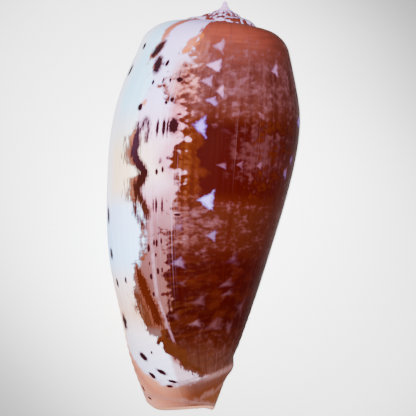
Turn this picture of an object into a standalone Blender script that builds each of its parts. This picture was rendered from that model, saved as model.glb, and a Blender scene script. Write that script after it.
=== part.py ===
"""A cone shell with a rounded shoulder, lying on its aperture, as one closed solid.

The shell is one sheet that grew in a spiral round an axis. A point on it is given by its growth
angle, in turns, which is 0 at the free edge of the lip and falls going back into the shell, and by
its row, which runs from the suture over the shoulder to the front end. The outlines below say how
far the sheet stands from the axis where it crosses the left and right sides of the shell, and
everything between them is smooth. Depth is measured along the axis, down from the tip of the apex.
Lengths are in millimetres until the last step.
"""
import math

import bmesh
import bpy
import numpy as np
from mathutils import Matrix, Vector

LENGTH = 65.0
DRAWN_LENGTH = 65.0  # the length at which the outlines below are drawn
MM = 0.001

# Where the sheet crosses the sides of the shell, in turns back from the lip.
LIP_SIDE_TURN = -0.083
HALF_TURN = 0.5

# Outlines as (depth, distance from the axis), newest first, each half a turn older than the last.
LIP_SIDE = ((8.8, 13.4), (12.6, 14.9), (17.1, 16.2), (22.1, 16.95), (29.4, 17.05), (35.6, 16.75),
            (42.0, 15.95), (49.8, 13.9), (58.6, 11.1), (64.0, 8.5))
FAR_SIDE = ((8.8, 10.85), (12.6, 11.85), (16.6, 12.7), (19.3, 12.9), (24.4, 12.5), (30.8, 11.3),
            (40.4, 8.85), (46.9, 7.15), (54.4, 4.95), (57.4, 3.95), (60.6, 2.85), (63.0, 2.15),
            (64.7, 1.6))
INNER_WALL = ((8.8, 8.6), (13.0, 9.3), (16.6, 9.45), (20.5, 9.2), (23.7, 8.5), (31.6, 6.4),
              (38.7, 4.3), (46.0, 3.0), (55.3, 1.9), (64.5, 0.95))
INNER_FAR_WALL = ((8.8, 6.9), (14.2, 6.8), (22.4, 5.0), (30.0, 3.2), (41.0, 2.0), (55.0, 1.2),
                  (64.5, 0.7))
NEXT_WHORL = 1.14  # how far the sheet would go on widening past the lip side
OLDEST_WALL = 0.75  # the size of the wall before the innermost outline

# The suture as (turn, distance from the axis, depth). Past turn 0 it is where a next whorl would join.
SUTURE = ((-2.083, 2.0, 2.0), (-1.583, 2.6, 2.45), (-1.083, 3.8, 2.7), (-0.583, 5.2, 4.0),
          (-0.333, 5.6, 3.5), (-0.083, 6.1, 3.25), (0.417, 9.5, 5.8), (0.917, 11.8, 5.5),
          (1.083, 12.9, 5.7))
SPIRE = ((0.32, 0.55), (0.6, 1.1), (1.2, 1.55), (2.0, 2.0))  # inside that, (distance, depth)
SPIRE_GROWTH = 1.8  # how much wider the innermost spire gets in each turn
SPIRE_TURNS = 5
APEX_DOME = (0.24, 0.14)  # distance and depth of the ring round the tip
RAMP_START = 0.3  # how steeply the spire leaves each suture, as a share of its slope to the next
RAMP_END = 2.5  # and how steeply it comes into the next one
BEND_REACH = 0.4  # how full the curves of the spire and shoulder are

SHOULDER_DEPTH = 8.8  # where the shoulder ends and the outlines begin
FRONT_END = 64.6
SIPHON_NOTCH = 0.4  # how far the front edge is cut back on the shell's back
LIP_CORNER = 1.6  # how far the lip's front corner is rounded off

# The ridge that old siphon notches left round the front end.
RIDGE_DEPTH = 57.4  # on the side away from the lip
RIDGE_SLOPE = 11.0  # further forward for each turn of growth
RIDGE_HEIGHT = 0.55
RIDGE_WIDTH = 1.1
RIDGE_SPREAD = 0.3  # turns over which the ridge fades out
GROOVE_SHARE = 0.3  # the depth of the groove behind the ridge, as a share of its height
GROOVE_BEHIND = 1.6  # how far behind the ridge it lies, in ridge widths

LIP_THICKNESS = 0.8
WALL_THICKNESS = 1.35
THICKENS_OVER = 0.12  # turns
WALL_SHARE = 0.42  # the most of the room between two whorls that the wall takes up
APERTURE_TURNS = 0.5  # how far the hollow goes back from the lip
EDGE_ROUNDING = 0.35  # how far the middle of a cut edge stands out, as a share of its thickness
# How far back the lip's edge lies at its two ends, in turns, and the share of the length it takes up.
LIP_SWEEP_SHOULDER = -0.035
LIP_SWEEP_FRONT = -0.03
SWEEP_SHARE_SHOULDER = 0.35
SWEEP_SHARE_FRONT = 0.25

# How the shell lies on its lip and its belly, with the apex towards +Y.
ROLL_DEG = 7.0
PITCH_DEG = 10.7
REST_WEAR = 0.12  # the depth of the small flats that it rests on

STEPS_PER_TURN = 56
RAMP_ROWS = 3
SUTURE_ROWS = 2  # rows below the suture that the wall's thickness covers
SHOULDER_ROWS = 5
BODY_ROWS = 22
ROW_CROWDING = 1.25  # how much closer together the rows lie at the front end
SHARP_OVER_DEG = 45.0
SHELL_COLOUR = (0.56, 0.26, 0.16, 1.0)
SHELL_ROUGHNESS = 0.22


def smooth_curve(places, values, at):
    """The smooth curve through the values at those places. A value may be a row of numbers."""
    places = np.asarray(places, float)
    values = np.asarray(values, float)
    slopes = np.gradient(values, places, axis=0)
    first = np.clip(np.searchsorted(places, at) - 1, 0, len(places) - 2)
    span = places[first + 1] - places[first]
    t = (at - places[first]) / span
    return ((1 + 2 * t) * (1 - t) ** 2 * values[first] + t * (1 - t) ** 2 * span * slopes[first]
            + t * t * (3 - 2 * t) * values[first + 1] + t * t * (t - 1) * span * slopes[first + 1])


def bend(start, start_way, end, end_way, steps):
    """Points along a curve that leaves start one way and comes into end another, both included."""
    reach = BEND_REACH * np.linalg.norm(np.subtract(end, start))
    first = start + reach * np.asarray(start_way) / np.linalg.norm(start_way)
    second = end - reach * np.asarray(end_way) / np.linalg.norm(end_way)
    t = np.linspace(0, 1, steps + 1)[:, None]
    return ((1 - t) ** 3 * start + 3 * t * (1 - t) ** 2 * first
            + 3 * t * t * (1 - t) * second + t ** 3 * np.asarray(end))


def suture(turn):
    """(distance from the axis, depth) of the line where the whorl joins the one before it."""
    oldest_turn, oldest_distance, _ = SUTURE[0]
    if turn >= oldest_turn:
        return smooth_curve([s[0] for s in SUTURE], [s[1:] for s in SUTURE], turn)
    distance = oldest_distance * SPIRE_GROWTH ** (turn - oldest_turn)
    return np.array((distance, smooth_curve(*zip(*SPIRE), distance)))


def distance_at(turn, depth):
    """How far the sheet stands from the axis at a growth angle, at each of these depths."""
    sides = [np.log(smooth_curve(*zip(*side), depth))
             for side in (INNER_FAR_WALL, INNER_WALL, FAR_SIDE, LIP_SIDE)]
    sides = [sides[0] + math.log(OLDEST_WALL), *sides, sides[-1] + math.log(NEXT_WHORL)]
    turns = [LIP_SIDE_TURN + HALF_TURN * (k - 4) for k in range(len(sides))]
    return np.exp(smooth_curve(turns, sides, turn))


def front_end(turn):
    """The depth of the front edge: cut back over the siphon, and rounded off at the lip."""
    angle = 2 * math.pi * (turn - LIP_SIDE_TURN)
    corner = LIP_CORNER * max(0.0, 1 + turn / THICKENS_OVER) ** 2
    return FRONT_END + SIPHON_NOTCH * math.cos(2 * angle) - corner


def siphon_ridge(turn, depth):
    """The height of the ridge round the front end, with the shallow groove behind it."""
    past_far_side = turn - LIP_SIDE_TURN + HALF_TURN
    off = (depth - RIDGE_DEPTH - RIDGE_SLOPE * past_far_side) / RIDGE_WIDTH
    height = RIDGE_HEIGHT * math.exp(-(past_far_side / RIDGE_SPREAD) ** 2)
    return height * (np.exp(-off ** 2) - GROOVE_SHARE * np.exp(-(off + GROOVE_BEHIND) ** 2))


def ramp(turn):
    """The outline from the suture to where the next whorl joins, and the way it ends."""
    joins, next_joins = suture(turn), suture(turn + 1)
    slope = (next_joins[1] - joins[1]) / (next_joins[0] - joins[0])
    end_way = (1.0, RAMP_END * slope)
    return bend(joins, (1.0, RAMP_START * slope), next_joins, end_way, RAMP_ROWS), end_way


def profile(turn):
    """(distance from the axis, depth) down the sheet at one growth angle, from suture to front end."""
    top, top_way = ramp(turn)
    below = SHOULDER_DEPTH + 0.5
    widths = distance_at(turn, np.array((SHOULDER_DEPTH, below)))
    shoulder_way = (widths[1] - widths[0], below - SHOULDER_DEPTH)
    shoulder = bend(top[-1], top_way, (widths[0], SHOULDER_DEPTH), shoulder_way, SHOULDER_ROWS)
    share = 1 - (1 - np.linspace(0, 1, BODY_ROWS + 1)) ** ROW_CROWDING
    depth = SHOULDER_DEPTH + (front_end(turn) - SHOULDER_DEPTH) * share
    body = np.column_stack((distance_at(turn, depth) + siphon_ridge(turn, depth), depth))
    return np.concatenate((top, shoulder[1:], body[1:]))


def inside(turn):
    """The inner face of the wall at a growth angle, from the end of the ramp to the front end."""
    outline = profile(turn)
    along = np.gradient(outline, axis=0)
    inward = np.column_stack((-along[:, 1], along[:, 0])) / np.linalg.norm(along, axis=1)[:, None]
    wall = LIP_THICKNESS + (WALL_THICKNESS - LIP_THICKNESS) * min(1.0, -turn / THICKENS_OVER)
    room = outline[:, 0] - distance_at(turn - 1, np.maximum(outline[:, 1], SHOULDER_DEPTH))
    wall = np.where(outline[:, 1] > SHOULDER_DEPTH, np.minimum(wall, WALL_SHARE * room), wall)
    inner = outline + inward * wall[:, None]
    inner[-1, 1] = outline[-1, 1]
    return inner[RAMP_ROWS - 1:]


def lip_sweep(depth):
    """How far the sheet is swept back at a depth, in turns, which curves its growth lines."""
    along = depth / FRONT_END
    shoulder = np.clip(1 - along / SWEEP_SHARE_SHOULDER, 0, 1) ** 2
    front = np.clip(1 - (1 - along) / SWEEP_SHARE_FRONT, 0, 1) ** 2
    return LIP_SWEEP_SHOULDER * shoulder + LIP_SWEEP_FRONT * front


def placed(turn, outline):
    """Points in space, with the axis along Y, the apex at the top and the shell's back towards +Z."""
    angle = 2 * math.pi * (LIP_SIDE_TURN - turn - lip_sweep(outline[:, 1]))
    return np.column_stack((-outline[:, 0] * np.cos(angle), -outline[:, 1],
                            outline[:, 0] * np.sin(angle)))


class Sheet:
    """The surface of the shell, as a list of points and a list of faces."""

    def __init__(self):
        self.points = []
        self.faces = []

    def add(self, points):
        """Adds points, and gives their numbers."""
        first = len(self.points)
        self.points.extend(np.atleast_2d(points))
        return list(range(first, len(self.points)))

    def strips(self, lines):
        """Faces between lines that have equally many points. Lines may share points."""
        for left, right in zip(lines, lines[1:]):
            for corners in zip(left, left[1:], right[1:], right):
                kept = [p for k, p in enumerate(corners) if p != corners[k - 1]]
                if len(kept) > 2:
                    self.faces.append(kept)

    def bridge(self, left, right):
        """Triangles between two lines that start at the same point and run down the shell."""
        i = j = 0
        while i + 1 < len(left) or j + 1 < len(right):
            left_next = self.points[left[min(i + 1, len(left) - 1)]][1]
            right_next = self.points[right[min(j + 1, len(right) - 1)]][1]
            if j + 1 == len(right) or (i + 1 < len(left) and left_next >= right_next):
                corners = [left[i], left[i + 1], right[j]]
                i += 1
            else:
                corners = [left[i], right[j + 1], right[j]]
                j += 1
            if len(set(corners)) == 3:
                self.faces.append(corners)

    def fan(self, middle, rim):
        """Triangles from a new point to a closed rim."""
        centre = self.add(middle)[0]
        for start, end in zip(rim, [*rim[1:], rim[0]]):
            self.faces.append([centre, start, end])

    def between(self, a, b, way):
        """A new point midway between two, stood out one way by a share of the distance between them."""
        start, end = np.asarray(self.points[a]), np.asarray(self.points[b])
        way = np.asarray(way) / np.linalg.norm(way)
        return self.add((start + end) / 2 + way * EDGE_ROUNDING * np.linalg.norm(end - start))[0]


def add_spire(sheet):
    """Strips that wind in to the apex. Each turn's outer edge is the next turn's inner edge."""
    steps = STEPS_PER_TURN
    first = -SPIRE_TURNS * steps
    rows = {i: sheet.add(placed(i / steps, ramp(i / steps)[0][:-1])) for i in range(first, -steps + 1)}
    joins = {i: row[0] for i, row in rows.items()}
    for i in range(-steps + 1, 1):
        joins[i] = sheet.add(placed(i / steps, suture(i / steps)[None]))[0]
    lines = {i: [*row, joins[i + steps]] for i, row in rows.items()}
    sheet.strips([lines[i] for i in sorted(lines)])

    rim = [joins[i] for i in range(first, first + steps)] + lines[first][:0:-1]
    points = np.array([sheet.points[p] for p in rim])
    distance = np.hypot(points[:, 0], points[:, 2])[:, None]
    ring = points * APEX_DOME[0] / distance
    ring[:, 1] = -APEX_DOME[1]
    dome = sheet.add(ring)
    sheet.strips([[*dome, dome[0]], [*rim, rim[0]]])
    sheet.fan((0.0, 0.0, 0.0), dome)
    return joins, lines[-steps]


def add_lip_edge(sheet, outer, inner, back):
    """The rounded edge of the lip. Where it meets the whorl before, it runs along that whorl's rows."""
    middle = [back[RAMP_ROWS + 1]]
    for k in range(1, len(inner)):
        ahead = np.subtract(sheet.points[inner[k]], sheet.points[outer[k + 1]])
        way = np.array((-ahead[2], 0.0, ahead[0]))
        if k == len(inner) - 1:
            way = way / np.linalg.norm(way) - (0.0, 1.0, 0.0)
        middle.append(sheet.between(outer[k + 1], inner[k], way))
    sheet.strips([outer, [middle[0], *middle]])
    sheet.strips([middle, inner])
    return middle[-1]


def add_front_edge(sheet, outer, inner, lip_corner):
    """The rounded front edge of the wall, from the lip's corner back to the end of the hollow."""
    middle = [lip_corner]
    middle += [sheet.between(a, b, (0.0, -1.0, 0.0)) for a, b in zip(outer[1:], inner[1:])]
    sheet.strips([outer, middle, inner])
    return middle[-1]


def add_shell(sheet):
    """The body whorl with its hollow, the spire, and the edges that close them into one body."""
    steps = STEPS_PER_TURN
    deep = -round(APERTURE_TURNS * steps)
    hollow_top = RAMP_ROWS + SUTURE_ROWS
    joins, top_line = add_spire(sheet)

    body = {-steps: [*top_line, *sheet.add(placed(-1.0, profile(-1.0)[RAMP_ROWS + 1:]))]}
    for i in range(-steps + 1, 1):
        body[i] = [joins[i], *sheet.add(placed(i / steps, profile(i / steps)[1:]))]
    sheet.strips([body[i] for i in range(-steps, 1)])

    wall_within = {-steps: body[-steps][hollow_top:]}
    for i in range(deep - steps, -steps):
        wall_within[i] = sheet.add(placed(i / steps, profile(i / steps)[hollow_top:]))
    sheet.strips([wall_within[i] for i in range(deep - steps, -steps + 1)])

    inner = {i: [wall_within[i - steps][0], *sheet.add(placed(i / steps, inside(i / steps)))]
             for i in range(deep, 1)}
    sheet.strips([inner[i] for i in range(deep, 1)])
    sheet.bridge(inner[deep], wall_within[deep - steps])

    corner = add_lip_edge(sheet, body[0], inner[0], body[-steps])
    rim = range(0, deep - 1, -1)
    rim_end = add_front_edge(sheet, [body[i][-1] for i in rim], [inner[i][-1] for i in rim], corner)
    core = [body[i][-1] for i in range(-steps, deep + 1)] + [rim_end, inner[deep][-1]]
    core += [wall_within[i][-1] for i in range(deep - steps, -steps)]
    sheet.fan((0.0, -FRONT_END, 0.0), core)


def laid_down(body):
    """Rolls the shell onto its aperture, wears its small rest flats, and moves it to the origin."""
    turn_over = Matrix.Rotation(math.radians(PITCH_DEG), 4, "X")
    bmesh.ops.transform(body, matrix=turn_over @ Matrix.Rotation(math.radians(ROLL_DEG), 4, "Y"),
                        verts=body.verts)
    floor = min(v.co.z for v in body.verts) + REST_WEAR
    cut = bmesh.ops.bisect_plane(body, geom=[*body.verts, *body.edges, *body.faces], dist=1e-5,
                                 plane_co=(0.0, 0.0, floor), plane_no=(0.0, 0.0, 1.0), clear_inner=True)
    edges = [e for e in cut["geom_cut"] if isinstance(e, bmesh.types.BMEdge)]
    bmesh.ops.contextual_create(body, geom=edges)
    low = Vector([min(v.co[k] for v in body.verts) for k in range(3)])
    high = Vector([max(v.co[k] for v in body.verts) for k in range(3)])
    middle = (low + high) / 2
    middle.z = floor
    bmesh.ops.translate(body, vec=-middle, verts=body.verts)
    bmesh.ops.scale(body, vec=(MM * LENGTH / DRAWN_LENGTH,) * 3, verts=body.verts)


def shell_material():
    material = bpy.data.materials.new("shell")
    material.use_nodes = True
    surface = material.node_tree.nodes["Principled BSDF"]
    surface.inputs["Base Color"].default_value = SHELL_COLOUR
    surface.inputs["Roughness"].default_value = SHELL_ROUGHNESS
    surface.inputs["Metallic"].default_value = 0.0
    material.diffuse_color = SHELL_COLOUR
    return material


def build_shell():
    sheet = Sheet()
    add_shell(sheet)
    body = bmesh.new()
    corners = [body.verts.new(point) for point in sheet.points]
    for face in sheet.faces:
        body.faces.new([corners[p] for p in face])
    bmesh.ops.recalc_face_normals(body, faces=body.faces)
    laid_down(body)
    mesh = bpy.data.meshes.new("shell")
    body.to_mesh(mesh)
    body.free()
    mesh.polygons.foreach_set("use_smooth", [True] * len(mesh.polygons))
    mesh.set_sharp_from_angle(angle=math.radians(SHARP_OVER_DEG))
    mesh.materials.append(shell_material())
    shell = bpy.data.objects.new("shell", mesh)
    bpy.context.scene.collection.objects.link(shell)


for thing in list(bpy.data.objects):
    bpy.data.objects.remove(thing, do_unlink=True)
build_shell()
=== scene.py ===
import math

import bmesh
import bpy
import numpy as np
from mathutils import Matrix, Vector


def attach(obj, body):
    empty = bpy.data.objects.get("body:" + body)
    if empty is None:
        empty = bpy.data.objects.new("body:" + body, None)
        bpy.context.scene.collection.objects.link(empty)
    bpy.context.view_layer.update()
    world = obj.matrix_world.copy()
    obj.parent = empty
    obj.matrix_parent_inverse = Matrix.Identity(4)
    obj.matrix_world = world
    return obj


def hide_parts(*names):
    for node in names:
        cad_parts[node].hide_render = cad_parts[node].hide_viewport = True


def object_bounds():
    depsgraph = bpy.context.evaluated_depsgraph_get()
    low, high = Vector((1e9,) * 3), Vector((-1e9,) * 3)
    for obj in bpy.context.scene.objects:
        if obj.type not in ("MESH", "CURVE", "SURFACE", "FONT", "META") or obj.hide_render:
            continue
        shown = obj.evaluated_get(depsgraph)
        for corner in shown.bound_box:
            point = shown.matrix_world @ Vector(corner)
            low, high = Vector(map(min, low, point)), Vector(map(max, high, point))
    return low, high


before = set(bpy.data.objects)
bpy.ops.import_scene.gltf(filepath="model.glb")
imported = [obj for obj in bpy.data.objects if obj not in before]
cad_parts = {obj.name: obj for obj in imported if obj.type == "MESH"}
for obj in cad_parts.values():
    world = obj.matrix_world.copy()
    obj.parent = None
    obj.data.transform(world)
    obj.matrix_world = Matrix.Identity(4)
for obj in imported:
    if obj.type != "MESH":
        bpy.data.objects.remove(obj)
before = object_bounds()

# Cone shell lying on its aperture, apex towards +Y, seen from above its back.
# The whole surface is one sheet: turn is the growth angle (0 at the lip, falling going back in),
# depth is mm down the axis from the apex.

# the shell's form: lengths in mm, turns as shares of a whorl, roll and pitch in degrees
form = dict(
    lipSideTurn=-0.083,
    # outlines, (depth, distance from the axis), each half a turn older
    lipSide=((8.8, 13.4), (12.6, 14.9), (17.1, 16.2), (22.1, 16.95), (29.4, 17.05), (35.6, 16.75),
             (42.0, 15.95), (49.8, 13.9), (58.6, 11.1), (64.0, 8.5)),
    farSide=((8.8, 10.85), (12.6, 11.85), (16.6, 12.7), (19.3, 12.9), (24.4, 12.5), (30.8, 11.3),
             (40.4, 8.85), (46.9, 7.15), (54.4, 4.95), (57.4, 3.95), (60.6, 2.85), (63.0, 2.15),
             (64.7, 1.6)),
    innerWall=((8.8, 8.6), (13.0, 9.3), (16.6, 9.45), (20.5, 9.2), (23.7, 8.5), (31.6, 6.4),
               (38.7, 4.3), (46.0, 3.0), (55.3, 1.9), (64.5, 0.95)),
    innerFarWall=((8.8, 6.9), (14.2, 6.8), (22.4, 5.0), (30.0, 3.2), (41.0, 2.0), (55.0, 1.2),
                  (64.5, 0.7)),
    nextWhorl=1.14,
    oldestWall=0.75,
    suture=((-2.083, 2.0, 2.0), (-1.583, 2.6, 2.45), (-1.083, 3.8, 2.7), (-0.583, 5.2, 4.0),
            (-0.333, 5.6, 3.5), (-0.083, 6.1, 3.25), (0.417, 9.5, 5.8), (0.917, 11.8, 5.5),
            (1.083, 12.9, 5.7)),
    spire=((0.32, 0.55), (0.6, 1.1), (1.2, 1.55), (2.0, 2.0)),
    spireGrowth=1.8,
    spireTurns=5,
    tipRing=(0.24, 0.14),
    rampStart=0.3,
    rampEnd=2.5,
    fullness=0.4,
    shoulderDepth=8.8,
    slopeProbe=0.5,
    frontEnd=64.6,
    siphonNotch=0.4,
    lipCorner=1.6,
    ridgeDepth=57.4,
    ridgeSlope=11.0,
    ridgeHeight=0.55,
    ridgeWidth=1.1,
    ridgeSpread=0.3,
    grooveDepth=0.3,  # the groove behind the ridge, as shares of the ridge's height and width
    grooveOff=1.6,
    lipWall=0.8,
    wall=1.35,
    wallOver=0.12,
    wallShare=0.42,
    hollowTurns=0.5,
    edgeRounding=0.35,
    sweepShoulder=-0.035,
    sweepShoulderReach=0.35,  # shares of the length
    sweepFront=-0.03,
    sweepFrontReach=0.25,
    coreTurn=-0.7,  # the age of the columella's cut end
    roll=7.0,
    pitch=10.7,
    wear=0.12,
)
mesh = dict(steps=240, rampRows=9, insideRampRows=3, coverRows=5, shoulderRows=12, bodyRows=132,
            frontCrowding=1.25, sharpAngle=50)


def smoothCurve(places, values, at):
    places = np.asarray(places, float)
    values = np.asarray(values, float)
    slopes = np.gradient(values, places, axis=0)
    first = np.clip(np.searchsorted(places, at) - 1, 0, len(places) - 2)
    span = places[first + 1] - places[first]
    t = (at - places[first]) / span
    return ((1 + 2 * t) * (1 - t) ** 2 * values[first] + t * (1 - t) ** 2 * span * slopes[first]
            + t * t * (3 - 2 * t) * values[first + 1] + t * t * (t - 1) * span * slopes[first + 1])


def bend(start, startWay, end, endWay, steps):
    reach = form["fullness"] * np.linalg.norm(np.subtract(end, start))
    first = start + reach * np.asarray(startWay) / np.linalg.norm(startWay)
    second = end - reach * np.asarray(endWay) / np.linalg.norm(endWay)
    t = np.linspace(0, 1, steps + 1)[:, None]
    return ((1 - t) ** 3 * start + 3 * t * (1 - t) ** 2 * first
            + 3 * t * t * (1 - t) * second + t ** 3 * np.asarray(end))


def sutureAt(turn):
    oldest = form["suture"][0]
    if turn >= oldest[0]:
        return smoothCurve([s[0] for s in form["suture"]], [s[1:] for s in form["suture"]], turn)
    distance = oldest[1] * form["spireGrowth"] ** (turn - oldest[0])
    return np.array((distance, smoothCurve(*zip(*form["spire"]), distance)))


def distanceAt(turn, depth):
    sides = [np.log(smoothCurve(*zip(*form[side]), depth))
             for side in ("innerFarWall", "innerWall", "farSide", "lipSide")]
    sides = [sides[0] + math.log(form["oldestWall"]), *sides, sides[-1] + math.log(form["nextWhorl"])]
    turns = [form["lipSideTurn"] + 0.5 * (k - 4) for k in range(6)]
    return np.exp(smoothCurve(turns, sides, turn))


def frontEndAt(turn):
    angle = 2 * math.pi * (turn - form["lipSideTurn"])
    corner = form["lipCorner"] * max(0.0, 1 + turn / form["wallOver"]) ** 2
    return form["frontEnd"] + form["siphonNotch"] * math.cos(2 * angle) - corner


def siphonRidge(turn, depth):
    past = turn - form["lipSideTurn"] + 0.5
    off = (depth - form["ridgeDepth"] - form["ridgeSlope"] * past) / form["ridgeWidth"]
    height = form["ridgeHeight"] * math.exp(-(past / form["ridgeSpread"]) ** 2)
    groove = form["grooveDepth"] * np.exp(-(off + form["grooveOff"]) ** 2)
    return height * (np.exp(-off ** 2) - groove)


def rampAt(turn):
    joins, nextJoins = sutureAt(turn), sutureAt(turn + 1)
    slope = (nextJoins[1] - joins[1]) / (nextJoins[0] - joins[0])
    endWay = (1.0, form["rampEnd"] * slope)
    return bend(joins, (1.0, form["rampStart"] * slope), nextJoins, endWay, mesh["rampRows"]), endWay


def profileAt(turn):
    top, topWay = rampAt(turn)
    shoulderDepth, probe = form["shoulderDepth"], form["slopeProbe"]
    widths = distanceAt(turn, np.array((shoulderDepth, shoulderDepth + probe)))
    shoulder = bend(top[-1], topWay, (widths[0], shoulderDepth), (widths[1] - widths[0], probe),
                    mesh["shoulderRows"])
    share = 1 - (1 - np.linspace(0, 1, mesh["bodyRows"] + 1)) ** mesh["frontCrowding"]
    depth = shoulderDepth + (frontEndAt(turn) - shoulderDepth) * share
    body = np.column_stack((distanceAt(turn, depth) + siphonRidge(turn, depth), depth))
    return np.concatenate((top, shoulder[1:], body[1:]))


def insideAt(turn):
    outline = profileAt(turn)
    along = np.gradient(outline, axis=0)
    inward = np.column_stack((-along[:, 1], along[:, 0])) / np.linalg.norm(along, axis=1)[:, None]
    wall = form["lipWall"] + (form["wall"] - form["lipWall"]) * min(1.0, -turn / form["wallOver"])
    room = outline[:, 0] - distanceAt(turn - 1, np.maximum(outline[:, 1], form["shoulderDepth"]))
    wall = np.where(outline[:, 1] > form["shoulderDepth"], np.minimum(wall, form["wallShare"] * room), wall)
    inner = outline + inward * wall[:, None]
    inner[-1, 1] = outline[-1, 1]
    return inner[mesh["rampRows"] - mesh["insideRampRows"]:]


def sweepAt(depth):  # the growth lines lag behind at the shoulder and the front
    shoulder = np.clip(1 - depth / (form["sweepShoulderReach"] * form["frontEnd"]), 0, 1) ** 2
    reach = form["sweepFrontReach"]
    front = np.clip((depth - (1 - reach) * form["frontEnd"]) / (reach * form["frontEnd"]), 0, 1) ** 2
    return form["sweepShoulder"] * shoulder + form["sweepFront"] * front


# fine relief on the outside, in mm: old stops in growth, growth lines, spiral threads at the front
relief = dict(stops=((-0.186, 0.006, 0.05), (-0.2225, 0.004, -0.06), (-0.262, 0.005, 0.04),
                     (-0.105, 0.004, 0.03), (-0.47, 0.006, 0.03)),
              lineHeight=0.012, lineWaves=((311, 0), (523, 2), (797, 1)),
              threadHeight=0.05, threadPitch=1.25, threadSlope=16.0,
              threadReach=(44, 54, 60, 63), reach=(5, 8, 62, 64), leastAtTop=0.25)


# rises from start to full and falls again from fading to end
def fadeAlong(depth, start, full, fading, end, least=0):
    return (np.clip((depth - start) / (full - start), least, 1)
            * np.clip((end - depth) / (end - fading), 0, 1))


def reliefAt(turn, outline):
    depth = outline[:, 1]
    height = np.zeros(len(depth))
    for stop, width, rise in relief["stops"]:
        height += rise * math.exp(-((turn - stop) / width) ** 2)
    for pace, start in relief["lineWaves"]:
        height += relief["lineHeight"] * math.sin(turn * pace + start)
    threads = fadeAlong(depth, *relief["threadReach"])
    wave = np.sin(2 * math.pi * (depth - relief["threadSlope"] * turn) / relief["threadPitch"])
    height += threads * relief["threadHeight"] * wave
    return height * fadeAlong(depth, *relief["reach"], relief["leastAtTop"])


def placed(turn, outline):
    angle = 2 * math.pi * (form["lipSideTurn"] - turn - sweepAt(outline[:, 1]))
    return np.column_stack((-outline[:, 0] * np.cos(angle), -outline[:, 1], outline[:, 0] * np.sin(angle)))


class Sheet:  # points, and faces with the turn and the side of each of their corners
    def __init__(self):
        self.points, self.faces, self.turns, self.sides = [], [], [], []

    def add(self, points):
        first = len(self.points)
        self.points.extend(np.atleast_2d(points))
        return list(range(first, len(self.points)))

    def face(self, corners, turns, side):
        kept = [k for k, p in enumerate(corners) if p != corners[k - 1]]
        if len(kept) > 2:
            self.faces.append([corners[k] for k in kept])
            self.turns.append([turns[k] for k in kept])
            self.sides.append([side] * len(kept))

    def strips(self, lines, turns, side):
        for left, right, a, b in zip(lines, lines[1:], turns, turns[1:]):
            for corners in zip(left, left[1:], right[1:], right):
                self.face(corners, (a, a, b, b), side)

    def fan(self, middle, rim, turn, side):
        centre = self.add(middle)[0]
        for start, end in zip(rim, [*rim[1:], rim[0]]):
            self.face([centre, start, end], (turn, turn, turn), side)

    def bridge(self, left, right, turn, side):
        i = j = 0
        while i + 1 < len(left) or j + 1 < len(right):
            leftNext = self.points[left[min(i + 1, len(left) - 1)]][1]
            rightNext = self.points[right[min(j + 1, len(right) - 1)]][1]
            if j + 1 == len(right) or (i + 1 < len(left) and leftNext >= rightNext):
                corners = [left[i], left[i + 1], right[j]]
                i += 1
            else:
                corners = [left[i], right[j + 1], right[j]]
                j += 1
            if len(set(corners)) == 3:
                self.face(corners, (turn, turn, turn), side)

    def between(self, a, b, way):
        start, end = np.asarray(self.points[a]), np.asarray(self.points[b])
        way = np.asarray(way) / np.linalg.norm(way)
        return self.add((start + end) / 2 + way * form["edgeRounding"] * np.linalg.norm(end - start))[0]


outsideSide, insideSide, edgeSide = 0.0, 1.0, 0.6


def addSpire(sheet):
    steps = mesh["steps"]
    first = -form["spireTurns"] * steps
    rows = {i: sheet.add(placed(i / steps, rampAt(i / steps)[0][:-1])) for i in range(first, -steps + 1)}
    joins = {i: row[0] for i, row in rows.items()}
    for i in range(-steps + 1, 1):
        joins[i] = sheet.add(placed(i / steps, sutureAt(i / steps)[None]))[0]
    lines = {i: [*row, joins[i + steps]] for i, row in rows.items()}
    order = sorted(lines)
    sheet.strips([lines[i] for i in order], [i / steps for i in order], outsideSide)
    rim = [joins[i] for i in range(first, first + steps)] + lines[first][:0:-1]
    points = np.array([sheet.points[p] for p in rim])
    ring = points * form["tipRing"][0] / np.hypot(points[:, 0], points[:, 2])[:, None]
    ring[:, 1] = -form["tipRing"][1]
    dome = sheet.add(ring)
    turn = first / steps
    sheet.strips([[*dome, dome[0]], [*rim, rim[0]]], (turn, turn), outsideSide)
    sheet.fan((0.0, 0.0, 0.0), dome, turn, outsideSide)
    return joins, lines[-steps]


def outsideAt(turn, firstRow):
    outline = profileAt(turn)
    outline[:, 0] += reliefAt(turn, outline)
    return placed(turn, outline[firstRow:])


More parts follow.
